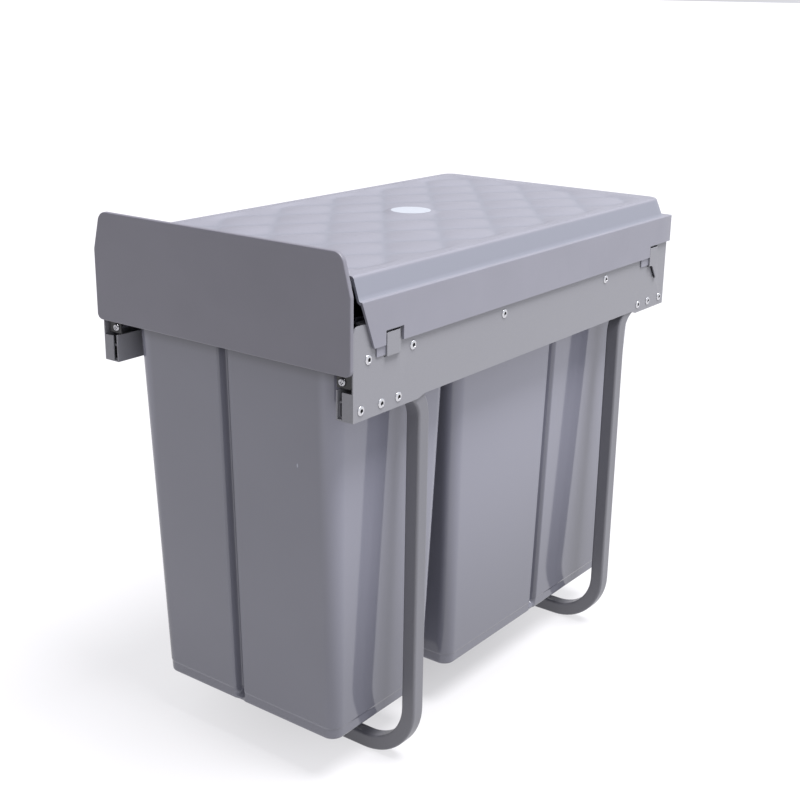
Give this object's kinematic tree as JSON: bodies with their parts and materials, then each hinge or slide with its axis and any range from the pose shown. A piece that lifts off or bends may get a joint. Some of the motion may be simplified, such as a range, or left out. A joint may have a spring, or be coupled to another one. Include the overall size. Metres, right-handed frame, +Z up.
{
  "type": "pull out trash cabinet",
  "caption": "Pull-out waste unit for a kitchen base cabinet: hanging bins on ball-bearing slides under a quilted clip-on lid, between steel side plates on bent tube legs.",
  "frame": {"origin": "on the floor, under the middle of the bounding box", "axes": "+X across the unit, +Y to the back of the cabinet, +Z up; the carriage pulls out along -Y"},
  "size_m": [0.26, 0.48, 0.4362],
  "materials": {
    "painted_plate": "smooth grey powder coat",
    "painted_tube": "grey powder coat on square tube",
    "zinc_steel": "bright zinc on rolled steel",
    "ball_steel": "polished ball steel",
    "rivet_steel": "plain steel rivet heads",
    "screw_steel": "zinc-plated screws",
    "rubber": "black rubber buffer",
    "painted_rail": "grey powder coat",
    "black_bracket": "black powder coat",
    "panel_plastic": "satin grey moulding",
    "lid_plastic": "satin grey moulding, quilted top",
    "bin_plastic": "glossy grey moulding"
  },
  "bodies": {
    "cabinet_frame": {"side_plate_left": "painted_plate", "side_plate_right": "painted_plate", "slide_rivets_left": "rivet_steel", "slide_rivets_right": "rivet_steel", "leg_rivets_left": "rivet_steel", "leg_rivets_right": "rivet_steel", "leg_front": "painted_tube", "leg_rear": "painted_tube", "slide_outer_left": "zinc_steel", "slide_outer_right": "zinc_steel", "slide_stop_left": "rubber", "slide_stop_right": "rubber", "lid": "lid_plastic"},
    "carriage": {"slide_inner_left": "zinc_steel", "slide_inner_right": "zinc_steel", "carriage_rail_left": "painted_rail", "carriage_rail_right": "painted_rail", "carriage_front_bar": "painted_rail", "carriage_centre_bar": "painted_rail", "carriage_rear_bar": "painted_rail", "panel_bracket_left": "black_bracket", "panel_bracket_right": "black_bracket", "rail_screws_left": "screw_steel", "rail_screws_right": "screw_steel", "bracket_rivets_left": "rivet_steel", "bracket_rivets_right": "rivet_steel", "door_screw_left": "screw_steel", "door_screw_right": "screw_steel", "panel_screws": "screw_steel", "front_panel": "panel_plastic"},
    "middle_member_left": {"slide_middle_left": "zinc_steel"},
    "outer_cage_left": {"ball_cage_outer_left": "zinc_steel", "balls_outer_left": "ball_steel"},
    "inner_cage_left": {"ball_cage_inner_left": "zinc_steel", "balls_inner_left": "ball_steel"},
    "middle_member_right": {"slide_middle_right": "zinc_steel"},
    "outer_cage_right": {"ball_cage_outer_right": "zinc_steel", "balls_outer_right": "ball_steel"},
    "inner_cage_right": {"ball_cage_inner_right": "zinc_steel", "balls_inner_right": "ball_steel"},
    "front_bin": {"front_bin": "bin_plastic"},
    "rear_bin": {"rear_bin": "bin_plastic"}
  },
  "joints": [
    {"name": "carriage_slide", "type": "slide", "parent": "cabinet_frame", "child": "carriage", "axis": [0, -1, 0], "range_m": [0, 0.42]},
    {"name": "middle_member_slide_left", "type": "slide", "parent": "cabinet_frame", "child": "middle_member_left", "axis": [0, -1, 0], "range_m": [0, 0.21]},
    {"name": "middle_member_slide_right", "type": "slide", "parent": "cabinet_frame", "child": "middle_member_right", "axis": [0, -1, 0], "range_m": [0, 0.21]},
    {"name": "outer_cage_slide_left", "type": "slide", "parent": "cabinet_frame", "child": "outer_cage_left", "axis": [0, -1, 0], "range_m": [0, 0.105]},
    {"name": "outer_cage_slide_right", "type": "slide", "parent": "cabinet_frame", "child": "outer_cage_right", "axis": [0, -1, 0], "range_m": [0, 0.105]},
    {"name": "inner_cage_slide_left", "type": "slide", "parent": "cabinet_frame", "child": "inner_cage_left", "axis": [0, -1, 0], "range_m": [0, 0.315]},
    {"name": "inner_cage_slide_right", "type": "slide", "parent": "cabinet_frame", "child": "inner_cage_right", "axis": [0, -1, 0], "range_m": [0, 0.315]},
    {"name": "front_bin_lift", "type": "slide", "parent": "carriage", "child": "front_bin", "axis": [0, 0, 1], "range_m": [0, 0.01]},
    {"name": "rear_bin_lift", "type": "slide", "parent": "carriage", "child": "rear_bin", "axis": [0, 0, 1], "range_m": [0, 0.01]}
  ],
  "couplings": [
    {"joint": "middle_member_slide_left", "follows": "carriage_slide", "ratio": 0.5},
    {"joint": "middle_member_slide_right", "follows": "carriage_slide", "ratio": 0.5},
    {"joint": "outer_cage_slide_left", "follows": "carriage_slide", "ratio": 0.25},
    {"joint": "outer_cage_slide_right", "follows": "carriage_slide", "ratio": 0.25},
    {"joint": "inner_cage_slide_left", "follows": "carriage_slide", "ratio": 0.75},
    {"joint": "inner_cage_slide_right", "follows": "carriage_slide", "ratio": 0.75}
  ]
}
